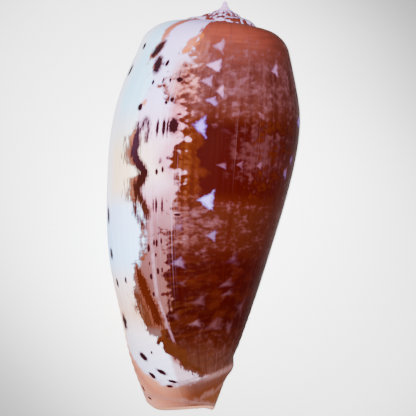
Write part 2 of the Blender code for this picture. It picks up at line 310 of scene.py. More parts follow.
def addShell(sheet):
    steps = mesh["steps"]
    deep = -round(form["hollowTurns"] * steps)
    hollowTop = mesh["rampRows"] + mesh["coverRows"]
    joins, topLine = addSpire(sheet)
    body = {-steps: [*topLine, *sheet.add(outsideAt(-1.0, mesh["rampRows"] + 1))]}
    for i in range(-steps + 1, 1):
        body[i] = [joins[i], *sheet.add(outsideAt(i / steps, 1))]
    order = range(-steps, 1)
    sheet.strips([body[i] for i in order], [i / steps for i in order], outsideSide)

    within = {-steps: body[-steps][hollowTop:]}
    for i in range(deep - steps, -steps):
        within[i] = sheet.add(placed(i / steps, profileAt(i / steps)[hollowTop:]))
    order = range(deep - steps, -steps + 1)
    sheet.strips([within[i] for i in order], [i / steps for i in order], insideSide)

    order = range(deep, 1)
    inner = {i: [within[i - steps][0], *sheet.add(placed(i / steps, insideAt(i / steps)))] for i in order}
    sheet.strips([inner[i] for i in order], [i / steps for i in order], insideSide)
    sheet.bridge(inner[deep], within[deep - steps], deep / steps, insideSide)

    # the lip's edge: where it meets the older whorl it runs along that whorl's rows
    outer, inside, back = body[0], inner[0], body[-steps]
    cover = mesh["coverRows"]
    middle = [back[mesh["rampRows"] + cover // 2]]
    lag = len(outer) - len(inside)
    for k in range(1, len(inside)):
        ahead = np.subtract(sheet.points[inside[k]], sheet.points[outer[k + lag]])
        way = np.array((-ahead[2], 0.0, ahead[0]))
        if k == len(inside) - 1:
            way = way / np.linalg.norm(way) - (0.0, 1.0, 0.0)
        middle.append(sheet.between(outer[k + lag], inside[k], way))
    under = mesh["rampRows"] + cover // 2
    sheet.bridge([*reversed(back[mesh["rampRows"] + 1:under + 1]), *outer], middle, 0.0, edgeSide)
    sheet.bridge(middle, [*back[under:hollowTop], *inside], 0.0, edgeSide)

    # the front edge of the wall, then the cut end of the columella
    rim = range(0, deep - 1, -1)
    outerRim, innerRim = [body[i][-1] for i in rim], [inner[i][-1] for i in rim]
    middleRim = [middle[-1]]
    middleRim += [sheet.between(a, b, (0.0, -1.0, 0.0)) for a, b in zip(outerRim[1:], innerRim[1:])]
    sheet.strips([outerRim, middleRim, innerRim], (0.0, 0.0, 0.0), edgeSide)
    core = [body[i][-1] for i in range(-steps, deep + 1)] + [middleRim[-1], inner[deep][-1]]
    core += [within[i][-1] for i in range(deep - steps, -steps)]
    sheet.fan((0.0, -form["frontEnd"], 0.0), core, form["coreTurn"], edgeSide)


# marks on the shell, placed by turn and by depth in mm
marks = dict(
    # the stop in growth that the dark zigzag follows
    zigzag=((-0.15, 3.0), (-0.164, 5.5), (-0.18, 7.6), (-0.172, 8.7), (-0.178, 10.5), (-0.199, 13.8),
            (-0.186, 17.4), (-0.187, 20.5), (-0.1915, 23.7), (-0.1885, 25.3), (-0.196, 26.5), (-0.2085, 27.6),
            (-0.215, 28.3), (-0.205, 29.5), (-0.1945, 30.5), (-0.1985, 31.8), (-0.209, 33.0), (-0.2145, 34.5),
            (-0.2125, 35.4), (-0.2075, 36.5), (-0.209, 38.2), (-0.205, 40.3), (-0.192, 41.8), (-0.186, 43.8),
            (-0.2, 46.6), (-0.21, 49.0), (-0.2205, 52.8), (-0.225, 55.0)),
    # the newest side of the brown field
    brown=((-0.285, 0.0), (-0.262, 4.5), (-0.25, 8.1), (-0.258, 12.1), (-0.262, 16.1), (-0.272, 19.3),
           (-0.2755, 22.5), (-0.252, 26.5), (-0.2805, 29.6), (-0.26, 32.1), (-0.2595, 36.1), (-0.251, 40.1),
           (-0.243, 43.3), (-0.2435, 46.5), (-0.2405, 49.6), (-0.235, 52.0), (-0.214, 53.6), (-0.201, 55.5),
           (-0.25, 57.5), (-0.305, 58.9), (-0.36, 59.6), (-0.45, 60.5)),
    # where the bare peach front end begins
    front=((-1.0, 55.0), (-0.6, 56.5), (-0.45, 57.5), (-0.35, 58.8), (-0.28, 60.0), (-0.22, 60.9),
           (-0.17, 60.8), (-0.12, 58.9), (-0.08, 55.6), (-0.03, 52.0), (0.0, 50.0)),
    # dark strokes, each a line of (turn, depth, half width)
    strokes=(
        ((-0.186, 7.3, 0.12), (-0.18, 8.0, 0.5), (-0.175, 8.7, 0.66), (-0.169, 9.4, 0.42)),
        ((-0.1925, 10.2, 0.5), (-0.194, 11.0, 0.68), (-0.196, 11.8, 0.48)),
        ((-0.19, 20.6, 0.3), (-0.1915, 22.0, 0.5), (-0.1905, 23.6, 0.7), (-0.187, 25.0, 0.8),
         (-0.193, 26.2, 0.7), (-0.203, 27.3, 0.82), (-0.21, 28.1, 0.72), (-0.203, 29.0, 0.78),
         (-0.1945, 30.3, 0.75), (-0.1955, 31.4, 0.6), (-0.206, 32.6, 0.46), (-0.2125, 34.0, 0.56),
         (-0.2135, 34.9, 0.4)),
        ((-0.1935, 31.0, 0.4), (-0.1905, 32.8, 0.28), (-0.19, 34.2, 0.3), (-0.1975, 35.2, 0.24),
         (-0.2035, 35.9, 0.22), (-0.207, 36.4, 0.42)),
        ((-0.205, 19.5, 0.1), (-0.211, 20.0, 0.13), (-0.213, 21.5, 0.15), (-0.2105, 22.9, 0.12)),
        ((-0.205, 19.5, 0.1), (-0.199, 20.9, 0.12)),
        ((-0.1865, 43.3, 0.42), (-0.192, 45.2, 0.75), (-0.1985, 47.2, 0.85), (-0.2045, 48.4, 0.75),
         (-0.2115, 49.6, 0.8), (-0.2155, 51.4, 0.6)),
    ),
    # warm brown strokes round them
    warmStrokes=(
        ((-0.163, 5.2, 0.3), (-0.176, 7.0, 0.32), (-0.188, 6.4, 0.3)),
        ((-0.188, 2.9, 0.95), (-0.181, 3.8, 0.85), (-0.171, 5.2, 0.7), (-0.176, 6.4, 0.5),
         (-0.182, 7.3, 0.4)),
        ((-0.166, 9.4, 0.25), (-0.166, 10.4, 0.2), (-0.1655, 10.9, 0.12)),
        ((-0.184, 7.2, 0.4), (-0.178, 8.3, 0.85), (-0.17, 9.4, 0.7)),
        ((-0.192, 10.2, 0.5), (-0.1945, 11.2, 0.85)),
        ((-0.194, 17.0, 0.35), (-0.199, 16.8, 0.3)),
        ((-0.262, 6.0, 0.4), (-0.25, 7.4, 0.75), (-0.243, 8.6, 0.6)),
        ((-0.184, 21.6, 0.5), (-0.181, 23.4, 0.75), (-0.178, 25.2, 0.8), (-0.186, 26.6, 0.5)),
        ((-0.196, 28.8, 0.4), (-0.186, 29.8, 0.65), (-0.184, 31.2, 0.6), (-0.188, 32.4, 0.3)),
        ((-0.206, 37.6, 0.22), (-0.208, 39.0, 0.3), (-0.205, 40.4, 0.3)),
        ((-0.1905, 41.4, 0.35), (-0.2, 41.6, 0.3)),
        ((-0.184, 42.6, 0.6), (-0.186, 47.0, 1.7), (-0.193, 49.6, 2.0), (-0.203, 51.6, 1.9),
         (-0.213, 52.9, 1.3)),
        ((-0.2, 51.6, 0.45), (-0.193, 51.2, 0.35)),
        ((-0.172, 48.6, 0.2), (-0.176, 50.0, 0.3)),
        ((-0.228, 54.4, 0.5), (-0.24, 55.6, 0.95), (-0.258, 56.2, 0.8)),
        ((-0.262, 57.4, 0.7), (-0.285, 58.6, 0.8), (-0.315, 59.2, 0.5)),
        ((-0.205, 36.9, 0.25), (-0.2, 38.4, 0.3), (-0.2, 40.2, 0.3), (-0.19, 41.4, 0.3)),
    ),
    # small dark marks: (turn, depth, half width, half height, slant in degrees)
    spots=(
        (-0.118, 8.0, 0.5, 0.5, 25), (-0.103, 11.9, 0.7, 0.9, 15), (-0.099, 35.0, 0.9, 1.2, -8),
        (-0.1045, 41.1, 0.7, 0.85, -15), (-0.1115, 45.6, 0.5, 0.65, -15), (-0.148, 45.1, 0.28, 0.5, 0),
        (-0.1005, 51.7, 0.95, 1.2, -15), (-0.199, 13.8, 0.2, 0.42, 0), (-0.187, 17.8, 0.5, 0.55, 0),
        (-0.2145, 10.7, 0.3, 0.55, 10), (-0.2085, 10.8, 0.12, 0.4, 10), (-0.2195, 13.4, 0.12, 0.45, 0),
        (-0.2345, 13.4, 0.12, 0.4, 0), (-0.252, 13.2, 0.5, 0.42, 0), (-0.2385, 16.9, 0.26, 0.3, 0),
        (-0.248, 16.4, 0.3, 0.35, 0), (-0.2305, 20.9, 0.24, 1.25, 0), (-0.242, 20.8, 0.3, 1.35, 0),
        (-0.249, 20.8, 0.24, 1.3, 0), (-0.259, 20.5, 0.85, 1.2, 0), (-0.233, 27.8, 0.26, 0.45, 0),
        (-0.244, 27.4, 0.2, 0.45, 0), (-0.227, 33.1, 0.13, 1.0, 0), (-0.2325, 33.0, 0.16, 1.1, 0),
        (-0.2435, 33.0, 0.16, 1.1, 0), (-0.2705, 34.3, 0.55, 0.22, 0), (-0.2265, 38.9, 0.17, 0.5, 0),
        (-0.2315, 38.9, 0.2, 0.6, 0), (-0.2405, 38.6, 0.14, 0.5, 0), (-0.215, 39.8, 0.24, 0.6, 0),
        (-0.2305, 43.3, 0.24, 0.5, 0), (-0.239, 43.1, 0.14, 0.45, 0), (-0.215, 44.2, 0.24, 0.5, 0),
        (-0.215, 47.0, 0.18, 0.4, 0), (-0.2145, 42.2, 0.12, 0.3, 0), (-0.145, 57.0, 0.9, 0.5, 35),
        (-0.186, 59.2, 0.9, 0.34, 25), (-0.151, 59.9, 0.7, 0.34, 35), (-0.2105, 60.6, 0.75, 0.22, 8),
        (-0.196, 61.4, 0.5, 0.2, 5), (-0.075, 62.1, 0.6, 0.3, 45), (-0.092, 63.6, 0.5, 0.16, 15),
        (-0.2285, 40.8, 0.12, 0.35, 0), (-0.1775, 56.2, 0.2, 0.25, 0),
    ),
    # pale tents in the brown: (turn, depth, half width, half height, slant, strength)
    tents=(
        (-0.3, 20.2, 1.15, 1.25, 0, 3), (-0.318, 31.9, 1.25, 1.2, 0, 3), (-0.309, 10.7, 0.95, 0.85, 0, 3),
        (-0.302, 13.2, 1.0, 0.95, 0, 2), (-0.314, 16.2, 1.0, 0.7, 0, 2), (-0.3085, 7.6, 0.85, 1.0, 0, 2),
        (-0.2655, 41.9, 1.1, 0.65, -12, 3), (-0.3315, 37.3, 0.75, 0.85, 0, 2), (-0.445, 11.0, 0.7, 0.9, 0, 2),
        (-0.329, 14.7, 0.5, 0.9, 0, 2), (-0.3705, 44.8, 1.1, 0.55, -25, 2), (-0.379, 46.2, 0.9, 0.5, -25, 2),
        (-0.307, 47.8, 1.1, 0.6, -15, 2), (-0.274, 45.0, 0.7, 0.35, 0, 2), (-0.3435, 51.6, 1.4, 0.8, -25, 2),
        (-0.3, 51.2, 0.9, 0.55, -15, 3), (-0.4315, 48.2, 0.7, 1.1, 0, 2), (-0.3785, 41.1, 1.1, 0.8, -20, 1),
        (-0.4905, 26.6, 0.7, 1.0, 0, 2), (-0.5095, 24.7, 0.6, 0.9, 0, 2), (-0.343, 26.2, 0.75, 0.5, 0, 2),
        (-0.373, 26.0, 0.65, 0.5, 0, 2), (-0.413, 26.0, 0.5, 0.45, 0, 2), (-0.4, 51.5, 0.6, 0.8, 0, 2),
        (-0.27, 36.3, 0.9, 0.7, 0, 1), (-0.254, 50.2, 0.8, 0.6, 0, 2), (-0.5385, 18.7, 0.8, 1.2, 0, 2),
    ),
    levelGap=4,  # between the strengths that the marks' first number carries
    farAway=9.0,  # where there is no stroke or mark near
    widestReach=40.0,  # squared, in a mark's own sizes
    flank=1.9,
    turnStep=0.002,  # small steps that give the ways round and along at a mark
    depthStep=0.2,
)


def lineAt(name, depth):
    return np.interp(depth, [p[1] for p in marks[name]], [p[0] for p in marks[name]])


def onShell(turn, depth):
    outline = profileAt(turn)
    return placed(turn, np.array([(np.interp(depth, outline[:, 1], outline[:, 0]), depth)]))[0]


# how far each point is from the nearest of some strokes, less the stroke's own half width
def strokeDistance(points, strokeSet):
    nearest = np.full(len(points), marks["farAway"])
    for stroke in strokeSet:
        knots = [onShell(turn, depth) for turn, depth, _ in stroke]
        for (a, b), (first, second) in zip(zip(knots, knots[1:]), zip(stroke, stroke[1:])):
            way = b - a
            t = np.clip((points - a) @ way / (way @ way), 0, 1)
            away = np.linalg.norm(points - a - t[:, None] * way, axis=1)
            nearest = np.minimum(nearest, away - (first[2] + t * (second[2] - first[2])))
    return nearest


# each face takes the marks' own (across, along) of the mark nearest to it
def markPlaces(points, faceCentres, faceOfCorner, corners, markSet):
    best = np.full(len(faceCentres), marks["widestReach"])
    found = np.full((len(corners), 2), (0.0, marks["farAway"]))
    for turn, depth, wide, high, slant, *strength in markSet:
        centre = onShell(turn, depth)
        around = onShell(turn + marks["turnStep"], depth) - centre
        along = onShell(turn, depth + marks["depthStep"]) - centre
        around /= np.linalg.norm(around)
        along -= around * (along @ around)
        along /= np.linalg.norm(along)
        tilt = math.radians(slant)
        across = (around * math.cos(tilt) - along * math.sin(tilt)) / wide
        down = (along * math.cos(tilt) + around * math.sin(tilt)) / high
        out = np.cross(around, along)
        off = faceCentres - centre
        score = (off @ across) ** 2 + (off @ down) ** 2 + (off @ out) ** 2
        closer = score < best
        best[closer] = score[closer]
        mine = closer[faceOfCorner]
        off = points[corners[mine]] - centre
        level = marks["levelGap"] * (strength[0] if strength else 0)
        sideways = np.clip(off @ across, -marks["flank"], marks["flank"])
        found[mine] = np.column_stack((sideways + level, off @ down))
    return found


# how the shell is turned to lie on its belly
pitched = Matrix.Rotation(math.radians(form["pitch"]), 3, "X")
turnOver = pitched @ Matrix.Rotation(math.radians(form["roll"]), 3, "Y")


def buildSkin():
    sheet = Sheet()
    addShell(sheet)
    points = np.array(sheet.points)
    depth = -points[:, 1]
    laid = points @ np.array(turnOver).T
    floor = laid[:, 2].min() + form["wear"]
    laid[:, 2] = np.maximum(laid[:, 2] - floor, 0)  # the two small worn flats it lies on
    low, high = np.array(before[0]) * 1000, np.array(before[1]) * 1000
    laid[:, :2] += (low[:2] + high[:2]) / 2 - (laid[:, :2].min(0) + laid[:, :2].max(0)) / 2

    data = bpy.data.meshes.new("shellSkin")
    data.from_pydata((laid / 1000).tolist(), [], sheet.faces)
    corners = np.concatenate([np.array(f) for f in sheet.faces])
    faceOfCorner = np.repeat(np.arange(len(sheet.faces)), [len(f) for f in sheet.faces])
    faceCentres = np.array([points[f].mean(0) for f in sheet.faces])
    turns = np.concatenate([np.array(t) for t in sheet.turns])
    sides = np.concatenate([np.array(t) for t in sheet.sides])
    deep = depth[corners]
    frontLine = np.interp(turns, *zip(*marks["front"]))
    layers = {
        "growth": np.column_stack((turns, deep)),
        "front": np.column_stack((deep - frontLine, sides)),
        "edges": np.column_stack((turns - lineAt("zigzag", deep), turns - lineAt("brown", deep))),
        "strokes": np.column_stack([strokeDistance(points, marks[name])[corners]
                                    for name in ("strokes", "warmStrokes")]),
        "spots": markPlaces(points, faceCentres, faceOfCorner, corners, marks["spots"]),
        "tents": markPlaces(points, faceCentres, faceOfCorner, corners, marks["tents"]),
    }
    for name, values in layers.items():
        layer = data.uv_layers.new(name=name)
        layer.data.foreach_set("uv", values.ravel())
    data.polygons.foreach_set("use_smooth", [True] * len(data.polygons))
    data.update()
    work = bmesh.new()
    work.from_mesh(data)
    bmesh.ops.recalc_face_normals(work, faces=work.faces)
    work.to_mesh(data)
    work.free()
    data.set_sharp_from_angle(angle=math.radians(mesh["sharpAngle"]))
    skin = bpy.data.objects.new("shellSkin", data)
    bpy.context.scene.collection.objects.link(skin)
    triangles = sum(len(face.vertices) - 2 for face in data.polygons)
    print("skin:", len(data.vertices), "points,", triangles, "triangles")
    return skin


skin = buildSkin()
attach(skin, "root")
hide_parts("shell")
print("skin size", [round(v * 1000, 2) for v in skin.dimensions])


# Colours of the skin. The runs go by depth in mm, the front ones by mm past the front line.
skinPaint = dict(
    girth=96.0,  # mm round the shell in one turn, for the size of the grain
    roughness=0.56,
    roughnessGrain=0.12,
    refraction=1.045,
    bumpDepth=0.0001,  # m
    grains=dict(  # noise: mm round the shell, mm along it, seed, detail
        streaks=(0.9, 26.0, 1.0, 3.0),
        fineStreaks=(0.22, 30.0, 2.0, 2.0),
        rough=(0.5, 0.5, 5.0, 3.0),
        coarse=(3.4, 2.6, 6.0, 3.0),
        rows=(6.0, 0.6, 7.0, 2.0),
        patches=(2.6, 1.9, 41.0, 2.0),
        flecks=(0.95, 0.7, 44.0, 1.0),
        lobes=(1.7, 1.3, 51.0, 1.0),
        pause=(2.4, 1.6, 21.0, 3.0),
        darkened=(4.0, 2.4, 32.0, 3.0),
        wobble=(0.5, 0.45, 94.3, 2.0),
        upright=(0.3, 2.2, 62.0, 1.0),
        dashes=(2.7, 0.7, 71.0, 1.0),
    ),
    bricks=(1.0, 0.9, 91.0),  # mm round, mm along, seed
    scarTurn=-0.2222,
    scarBend=(47.4, 7.0, 0.0033),  # where it starts to slant, for how long, turn per mm
    scarWidth=0.55,
    # the newest growth is white; its blue-white stops near 0-17 mm and 34-42 mm deep are a painted highlight
    newGrowth=((0, (0.45, 0.54, 0.97)), (6, (0.36, 0.62, 0.97)), (17, (0.3, 0.66, 0.97)),
               (20, (0.5, 0.58, 0.75)), (25, (0.72, 0.52, 0.34)), (31, (0.72, 0.5, 0.36)),
               (34, (0.4, 0.55, 0.96)), (42, (0.3, 0.56, 0.97)), (45.5, (0.62, 0.46, 0.5)),
               (50.5, (0.55, 0.3, 0.22)), (53.5, (0.62, 0.5, 0.6)), (58, (0.5, 0.49, 0.74))),
    # painted shade, tinted lilac, where the newest growth turns away towards the lip side
    lipSideShade=(0.78, 0.74, 0.92),
    lipPeach=(0.86, 0.45, 0.3),
    zigzagHalo=(0.86, 0.88, 0.95),
    paleLines=(0.9, 0.9, 0.95),
    rustLines=(0.8, 0.5, 0.4),
    middle=((0, (0.62, 0.46, 0.93)), (6, (0.6, 0.44, 0.92)), (12, (0.56, 0.46, 0.9)),
            (17, (0.58, 0.46, 0.9)), (21, (0.58, 0.34, 0.6)), (25, (0.6, 0.36, 0.46)),
            (30, (0.46, 0.25, 0.38)), (33, (0.3, 0.11, 0.17)), (36, (0.14, 0.052, 0.07)),
            (41, (0.1, 0.036, 0.038)), (47, (0.072, 0.025, 0.023)), (52, (0.2, 0.08, 0.08)),
            (56, (0.4, 0.22, 0.24)), (59, (0.42, 0.27, 0.36))),
    pink=((0, (0.55, 0.3, 0.5)), (9, (0.45, 0.13, 0.12)), (12, (0.45, 0.16, 0.2)),
          (16, (0.32, 0.075, 0.07)), (19, (0.4, 0.12, 0.2)), (24, (0.42, 0.17, 0.27)),
          (30, (0.3, 0.12, 0.17)), (36, (0.13, 0.048, 0.06)), (44, (0.085, 0.03, 0.028)),
          (51, (0.1, 0.038, 0.036)), (60, (0.2, 0.08, 0.09))),
    cream=(0.82, 0.66, 0.5),
    brown=((0, (0.2, 0.04, 0.02)), (3.2, (0.26, 0.048, 0.028)), (5, (0.2, 0.038, 0.026)),
           (7.5, (0.1, 0.022, 0.016)), (11, (0.055, 0.013, 0.0105)), (16, (0.044, 0.01, 0.008)),
           (19, (0.036, 0.006, 0.002)), (22, (0.032, 0.004, 0.0006)), (31, (0.028, 0.0034, 0.0006)),
           (34, (0.024, 0.004, 0.0016)), (39, (0.022, 0.003, 0.001)), (42, (0.02, 0.0015, 0.0005)),
           (54, (0.024, 0.003, 0.0008)), (58, (0.045, 0.014, 0.008)), (66, (0.05, 0.012, 0.006))),
    freshBrown=(0.055, 0.012, 0.003),
    redBrown=(0.0165, 0.0006, 0.0003),
    darkBrown=(0.0135, 0.0005, 0.0003),
    frontRows=(0.05, 0.01, 0.003),
    goldenRows=(0.05, 0.0125, 0.002),
    shoulderLines=(0.08, 0.02, 0.019),
    # painted shade over the brown towards the far side
    farSideShade=(0.016, 0.0012, 0.0006),
    darkLines=(0.02, 0.0015, 0.0006),
    thinBrown=(0.24, 0.06, 0.04),
    # lilac mottles: the shell's own mottling with a painted sheen
    mottleAndSheen=((0, (0.4, 0.12, 0.15)), (8, (0.09, 0.028, 0.032)), (17, (0.07, 0.024, 0.028)),
            (22, (0.045, 0.009, 0.006)), (32, (0.072, 0.023, 0.028)), (38, (0.056, 0.018, 0.02)),
            (43, (0.034, 0.009, 0.006)), (60, (0.06, 0.022, 0.022))),
    # lilac flecks: the shell's own with a painted sheen
    upperFlecksAndSheen=(0.19, 0.07, 0.12),
    lowerFlecksAndSheen=(0.09, 0.035, 0.055),
    # painted sheen over the brown
    paintedSheen=(0.05, 0.015, 0.017),
    threads=(0.09, 0.04, 0.05),
    tent=((0, (0.5, 0.24, 0.5)), (15, (0.36, 0.14, 0.34)), (19, (0.2, 0.1, 0.7)), (22, (0.18, 0.09, 0.5)),
          (26, (0.1, 0.035, 0.05)), (30, (0.22, 0.15, 0.6)), (33, (0.22, 0.15, 0.6)), (37, (0.12, 0.07, 0.2)),
          (44, (0.075, 0.03, 0.042)), (66, (0.08, 0.034, 0.045))),
    scar=(0.3, 0.15, 0.22),
    lilacLines=(0.6, 0.42, 0.8),
    plumLines=(0.16, 0.05, 0.06),
    frontOld=((0, (0.06, 0.022, 0.018)), (0.8, (0.065, 0.025, 0.021)), (2.5, (0.065, 0.016, 0.006)),
              (6, (0.1, 0.033, 0.014))),
    frontNew=((0, (0.5, 0.3, 0.42)), (0.8, (0.45, 0.16, 0.1)), (3.0, (0.34, 0.1, 0.055)),
              (8, (0.46, 0.19, 0.14))),
    # painted highlight along the front end's ridges
    ridgeHighlight=(0.2, 0.1, 0.1),
    fringe=(0.06, 0.017, 0.011),
    warmStroke=((0, (0.3, 0.06, 0.015)), (6, (0.36, 0.08, 0.02)), (18, (0.45, 0.12, 0.05)),
                (24, (0.12, 0.04, 0.03)), (34, (0.09, 0.026, 0.012)), (42, (0.065, 0.016, 0.006)),
                (47, (0.038, 0.0075, 0.002)), (66, (0.038, 0.0095, 0.003))),
    zigzag=((0, (0.03, 0.01, 0.01)), (11, (0.015, 0.005, 0.008)), (24, (0.02, 0.006, 0.012)),
            (28, (0.012, 0.002, 0.002)), (33, (0.02, 0.004, 0.002)), (38, (0.03, 0.007, 0.004)),
            (44, (0.03, 0.004, 0.001)), (66, (0.02, 0.002, 0.001))),
    zigzagRim=(0.08, 0.024, 0.016),
    spot=(0.012, 0.002, 0.003),
    spotRim=(0.1, 0.034, 0.036),
    spireDashes=(0.62, 0.42, 0.85),
    tip=(0.66, 0.34, 0.75),
    edge=(0.45, 0.19, 0.12),
    inside=(0.62, 0.46, 0.5),
    # painted shade, multiplied over all but the newest growth
    olderSideShade=(0.88, 0.88, 0.88),
)


class Paint:  # a socket in a material, so that its maths can be written out
    def __init__(self, tree, socket=None):
        self.tree, self.socket = tree, socket

    def node(self, kind, settings, sockets, out=0):
        made = self.tree.nodes.new(kind)
        for name, value in settings.items():
            if name == "stops":
                ramp = made.color_ramp
                for place, colour in value[1:-1]:
                    ramp.elements.new(place)
                for element, (place, colour) in zip(ramp.elements, value):
                    element.position = place
                    element.color = (*colour, 1.0)
            else:
                setattr(made, name, value)
        for key, value in sockets.items():
            if isinstance(value, Paint):
                self.tree.links.new(value.socket, made.inputs[key])
            else:
                made.inputs[key].default_value = value
        return Paint(self.tree, made.outputs[out])

    def maths(self, operation, *values):
        return self.node("ShaderNodeMath", {"operation": operation}, dict(enumerate(values)))

    def __add__(self, other):
        return self.maths("ADD", self, other)

    def __sub__(self, other):
        return self.maths("SUBTRACT", self, other)

    def __mul__(self, other):
        return self.maths("MULTIPLY", self, other)

    def __truediv__(self, other):
        return self.maths("DIVIDE", self, other)

    def __rsub__(self, other):
        return self.maths("SUBTRACT", other, self)

    def __rtruediv__(self, other):
        return self.maths("DIVIDE", other, self)

    __radd__ = __add__
    __rmul__ = __mul__

    def size(self):
        return self.maths("ABSOLUTE", self)

    def whole(self):
        return self.maths("FLOOR", self)

    def root(self):
        return self.maths("SQRT", self)

    def most(self, other):
        return self.maths("MAXIMUM", self, other)

    def least(self, other):
        return self.maths("MINIMUM", self, other)

    def step(self, start, end):  # eases from 0 at start to 1 at end
        settings = {"interpolation_type": "SMOOTHSTEP"}
        return self.node("ShaderNodeMapRange", settings, {0: self, 1: start, 2: end})

    def bump(self, middle, reach):  # 1 at the middle, eases to 0 at the reach either side
        return (self - middle).size().step(reach, 0.0)

    def coat(self, colour, share, blend="MIX"):  # this colour with another laid over it
        if not isinstance(colour, Paint):
            colour = (*skinPaint[colour], 1.0)
        settings = {"data_type": "RGBA", "blend_type": blend}
        return self.node("ShaderNodeMix", settings, {0: share, 6: self, 7: colour}, 2)

    def shades(self, name):  # a run of colours along this value
        stops = skinPaint[name]
        start, end = stops[0][0], stops[-1][0]
        spread = [((place - start) / (end - start), colour) for place, colour in stops]
        place = self.node("ShaderNodeMapRange", {}, {0: self, 1: start, 2: end})
        return self.node("ShaderNodeValToRGB", {"stops": spread}, {0: place})

    def parts(self):
        split = self.node("ShaderNodeSeparateXYZ", {}, {0: self}).socket.node
        return [Paint(self.tree, socket) for socket in split.outputs]

    def joined(self, *values):
        return self.node("ShaderNodeCombineXYZ", {}, dict(enumerate(values)))


def paintSkin():
    material = bpy.data.materials.new("porcelainShell")
    material.use_nodes = True
    tree = material.node_tree
    paint = Paint(tree)

    def layer(name):
        return paint.node("ShaderNodeUVMap", {"uv_map": name}, {}).parts()[:2]

    turn, depth = layer("growth")
    pastFront, side = layer("front")
    fromZigzag, fromBrown = layer("edges")
    dark, warm = layer("strokes")
    spotAcross, spotAlong = layer("spots")
    tentAcross, tentAlong = layer("tents")
    girth = skinPaint["girth"]
    around = turn * girth
    spiral = depth - around * (depth.step(28.0, 50.0) * 0.2)  # the colour rows run down towards the lip

    def grain(name, down=spiral):
        wide, high, seed, detail = skinPaint["grains"][name]
        place = paint.joined(around / wide, down / high, seed)
        return paint.node("ShaderNodeTexNoise", {}, {"Vector": place, "Scale": 1.0, "Detail": detail})

    streaks = grain("streaks", depth)
    fineStreaks = grain("fineStreaks", depth)
    rough = grain("rough") - 0.5
    coarse = grain("coarse") - 0.5
    rows = grain("rows") - 0.5
    patches = grain("patches")
    flecks = grain("flecks")
    cloud = patches * 0.66 + flecks * 0.5 + streaks * 0.25 - 0.205

    # ground: newest growth, white with a painted blue-white highlight in two bands, and what is older than
    # the zigzag
    newGrowth = depth.shades("newGrowth")
    # painted shade, tinted lilac, on the newest growth towards the lip side and round under it
    newGrowth = newGrowth.coat("lipSideShade", turn.step(-0.14, -0.1) * depth.step(38.0, 30.0) * 0.8)
    newGrowth = newGrowth.coat("lipPeach", turn.step(-0.105, -0.07) * depth.step(40.0, 52.0))
    newGrowth = newGrowth.coat("zigzagHalo", fromZigzag.step(0.035, 0.01) * depth.bump(27.0, 9.0) * 0.6)
    newGrowth = newGrowth.coat("paleLines", fineStreaks.step(0.5, 0.7) * 0.25)
    newGrowth = newGrowth.coat("rustLines", streaks.step(0.56, 0.75) * depth.bump(26.0, 9.0) * 0.35)
    middle = (depth + coarse * 2.0).shades("middle")
    pink = (depth + coarse * 3.0).shades("pink")
    middle = middle.coat(pink, (fromBrown + coarse * 0.03).step(0.04, 0.008) * depth.step(8.0, 12.0))
    middle = middle.coat("cream", fromZigzag.step(-0.05, -0.01) * depth.bump(26.0, 6.0) * 0.6)
    soft = depth.bump(25.0, 12.0).step(0.3, 0.7)
    ground = middle.coat(newGrowth, (fromZigzag / (0.0165 - soft * 0.0135) + 0.5).step(0.0, 1.0))

    # where the brown lies, ragged most where it is speckled
    speckled = depth.bump(14.0, 7.0) + depth.bump(37.0, 6.0) * 0.3 + 0.24
    lobes = grain("lobes") - 0.5
    ragged = fromBrown * girth + (patches - 0.5) * (speckled * 20.0)
    ragged = ragged + (flecks - 0.5) * (speckled * 15.0 - 2.0)
    ragged = ragged + (streaks - 0.5) * 3.0 - depth.bump(14.5, 5.0) + lobes * 4.5 + rough * 0.4
    brownShare = ragged.step(speckled * 2.2 + 0.1, speckled * -2.2 - 0.1)
    pause = (turn + coarse * 0.05).bump(-0.72, 0.085)  # an older pale stop, on the belly
    brownShare = brownShare * (1.0 - pause * (grain("pause") + pause * 0.35).step(0.45, 0.62))

    # the brown itself, golden where fresh and red where aged
    brown = (depth + rows * 3.0).shades("brown")
    fresh = turn.step(-0.315, -0.275) * depth.step(16.0, 20.0) * depth.step(41.5, 37.0)
    brown = brown.coat("freshBrown", fresh * (cloud + rough * 0.2).step(0.42, 0.58) * 0.85)
    aged = (turn + coarse * depth.step(21.5, 25.0) * 0.08).step(-0.304, -0.314)
    aged = aged * depth.bump(25.3, 9.2).step(0.0, 0.5)
    brown = brown.coat("redBrown", aged * (turn.step(-0.42, -0.34) * 0.3 + cloud + 0.1).step(0.46, 0.62))
    darkened = depth.bump(46.5, 10.0).step(0.0, 0.6) * (grain("darkened") + 0.06).step(0.42, 0.6)
    brown = brown.coat("darkBrown", darkened)
    brown = brown.coat("frontRows", depth.step(50.0, 54.0) * rows.step(0.02, 0.2) * 0.5)
    golden = (rows + lobes * 0.5).step(-0.03, 0.2) * depth.bump(46.0, 9.0).step(0.0, 0.5)
    brown = brown.coat("goldenRows", golden * turn.step(-0.38, -0.27) * 0.25)
    brown = brown.coat("shoulderLines", streaks.step(0.5, 0.72) * depth.step(21.0, 8.0) * 0.5)
    # painted shade: the brown darker towards the far side
    brown = brown.coat("farSideShade", turn.step(-0.36, -0.52) * 0.45)
    brown = brown.coat("darkLines", streaks.step(0.52, 0.32) * depth.step(8.0, 12.0) * 0.45)
    thin = ragged.step(-4.5, -0.5) * depth.bump(11.0, 7.0).step(0.0, 0.5)  # paler where the brown thins out
    brown = brown.coat("thinBrown", thin * 0.85)
    colour = ground.coat(brown, brownShare)

